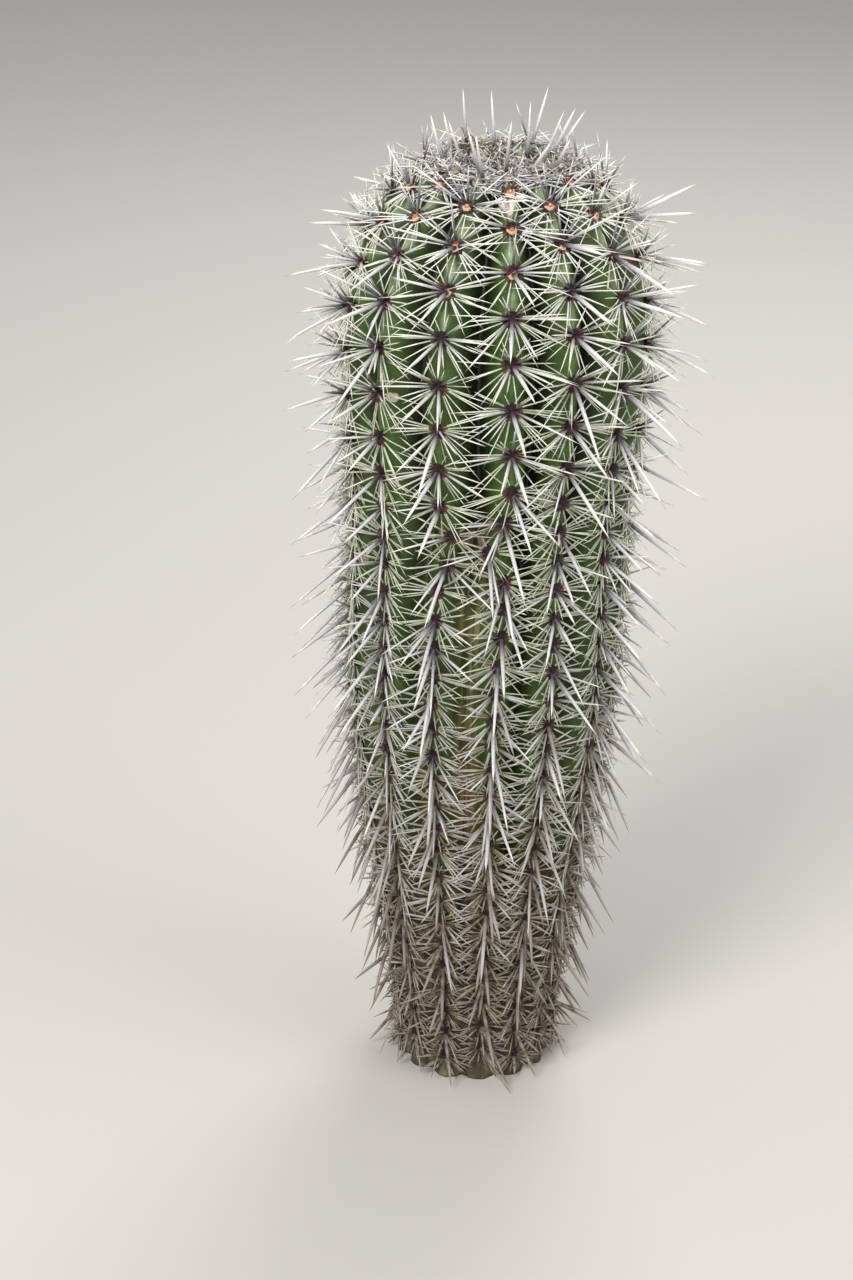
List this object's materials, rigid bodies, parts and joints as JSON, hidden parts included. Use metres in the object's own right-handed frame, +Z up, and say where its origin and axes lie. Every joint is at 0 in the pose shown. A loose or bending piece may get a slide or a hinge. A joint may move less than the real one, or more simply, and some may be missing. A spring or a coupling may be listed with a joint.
{
  "type": "saguaro cactus",
  "caption": "Young armless saguaro: one ribbed, club-shaped green stem with rows of long spines down the rib crests and a spiny tuft on the tip.",
  "frame": {"origin": "centre of the flat cut under the stem, at ground level", "axes": "+Z up the stem, -Y towards the side that the picture shows, +X to that side's right"},
  "size_m": [0.2676, 0.2694, 0.6549],
  "materials": {
    "skin": "waxy green cactus skin, dull and corky at the foot",
    "spines": "dry ivory to lilac-grey spines with dark bases",
    "tuft": "woolly growing tip with short grey-white spines"
  },
  "bodies": {
    "root": {"stem": "skin", "spine_row_01": "spines", "spine_row_02": "spines", "spine_row_03": "spines", "spine_row_04": "spines", "spine_row_05": "spines", "spine_row_06": "spines", "spine_row_07": "spines", "spine_row_08": "spines", "spine_row_09": "spines", "spine_row_10": "spines", "spine_row_11": "spines", "spine_row_12": "spines", "spine_row_13": "spines", "spine_row_14": "spines", "crown_tuft": "tuft"}
  },
  "joints": []
}
